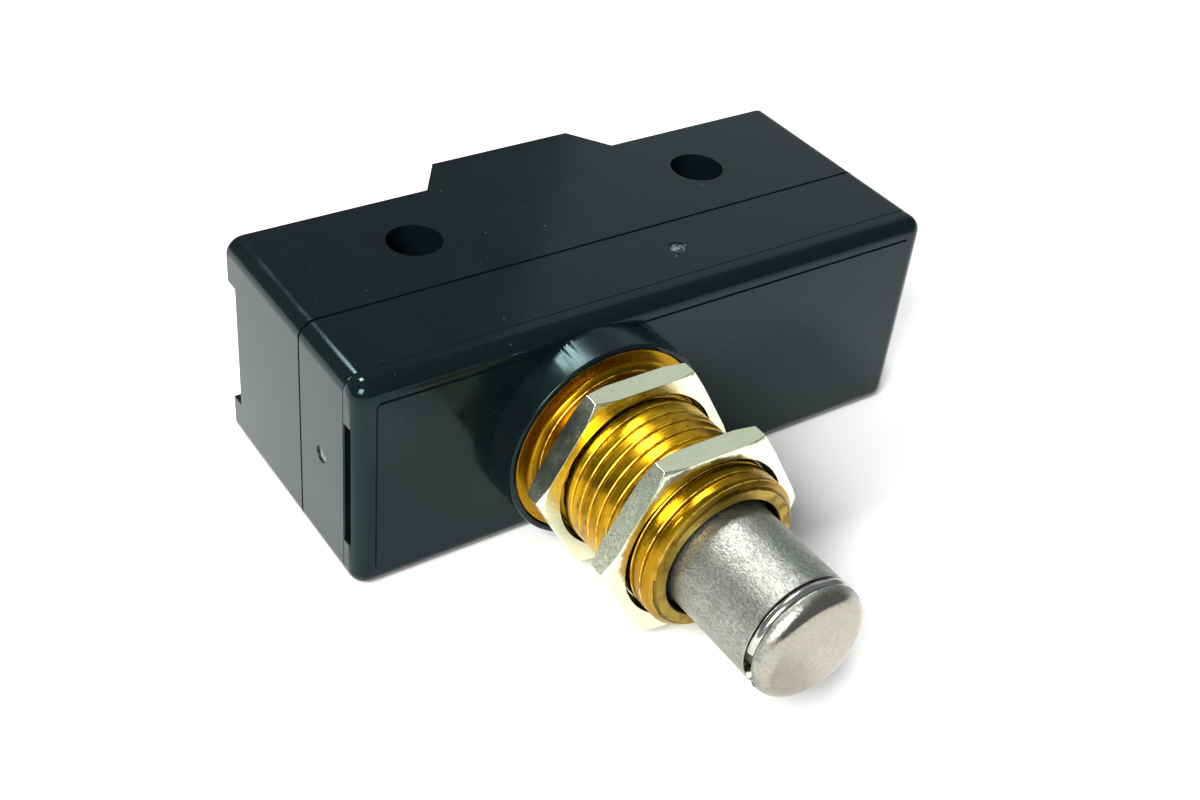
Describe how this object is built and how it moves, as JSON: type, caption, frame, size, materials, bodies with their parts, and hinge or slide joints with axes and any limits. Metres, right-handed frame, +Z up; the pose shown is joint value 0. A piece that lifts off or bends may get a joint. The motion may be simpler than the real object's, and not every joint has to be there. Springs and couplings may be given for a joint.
{
  "type": "limit switch",
  "caption": "Panel-mount plunger limit switch: a black snap-action case with a threaded brass stud, two hexagon nuts and a round steel plunger.",
  "frame": {"origin": "middle of the two mounting holes, on the flat underside", "axes": "+X along the case towards the end far from the stud, -Y the way the plunger points, +Z up through the case's thickness"},
  "size_m": [0.0492, 0.0518, 0.0174],
  "materials": {
    "phenolic": "moulded, glossy black",
    "brass": "turned and polished",
    "nickel_plate": "bright nickel plate",
    "stainless": "tumbled satin steel",
    "spring_steel": "polished spring steel",
    "pin_nylon": "natural moulded plastic",
    "beryllium_copper": "rolled strip",
    "silver": "contact silver",
    "terminal_brass": "plated strip"
  },
  "bodies": {
    "case": {"case_base": "phenolic", "case_cover": "phenolic", "front_cap": "phenolic", "threaded_bushing": "brass", "anchor_rivet": "brass", "common_terminal": "terminal_brass", "nc_terminal": "terminal_brass", "no_terminal": "terminal_brass", "nc_contact": "silver", "no_contact": "silver"},
    "plunger": {"plunger": "stainless", "plunger_snap_ring": "spring_steel", "overtravel_spring": "spring_steel"},
    "pin_plunger": {"pin_plunger": "pin_nylon", "spring_seat": "brass"},
    "snap_blade": {"snap_blade": "beryllium_copper", "bow_spring": "beryllium_copper", "moving_contact": "silver"},
    "inner_nut": {"inner_nut": "nickel_plate"},
    "outer_nut": {"outer_nut": "nickel_plate"},
    "common_screw": {"common_screw": "nickel_plate", "common_washer": "nickel_plate"},
    "no_screw": {"no_screw": "nickel_plate", "no_washer": "nickel_plate"},
    "nc_screw": {"nc_screw": "nickel_plate", "nc_washer": "nickel_plate"}
  },
  "joints": [
    {"name": "plunger_slide", "type": "slide", "parent": "case", "child": "plunger", "axis": [0, 1, 0], "range_m": [0, 0.0059], "stiffness_N_per_m": 420, "springref_m": -0.006, "deforming": ["overtravel_spring"]},
    {"name": "pin_slide", "type": "slide", "parent": "case", "child": "pin_plunger", "axis": [0, 1, 0], "range_m": [0, 0.00054]},
    {"name": "blade_swing", "type": "hinge", "parent": "case", "child": "snap_blade", "pos_m": [-0.0185, -0.0085, 0.00873], "axis": [0, 0, 1], "range_deg": [0, 1.62]},
    {"name": "outer_nut_feed", "type": "slide", "parent": "case", "child": "outer_nut", "axis": [0, -1, 0], "range_m": [-0.0058, 0.0165]},
    {"name": "inner_nut_turn", "type": "hinge", "parent": "case", "child": "inner_nut", "pos_m": [-0.00635, -0.01975, 0.00873], "axis": [0, -1, 0], "continuous": true},
    {"name": "common_screw_turn", "type": "hinge", "parent": "case", "child": "common_screw", "pos_m": [-0.0179, 0.006, 0.00873], "axis": [0, 1, 0], "continuous": true},
    {"name": "no_screw_turn", "type": "hinge", "parent": "case", "child": "no_screw", "pos_m": [0, 0.0093, 0.00873], "axis": [0, 1, 0], "continuous": true},
    {"name": "nc_screw_turn", "type": "hinge", "parent": "case", "child": "nc_screw", "pos_m": [0.0179, 0.006, 0.00873], "axis": [0, 1, 0], "continuous": true}
  ],
  "couplings": [
    {"joint": "pin_slide", "follows": "plunger_slide", "ratio": 0.0898},
    {"joint": "blade_swing", "follows": "plunger_slide", "rad_per_m": 4.7034}
  ]
}
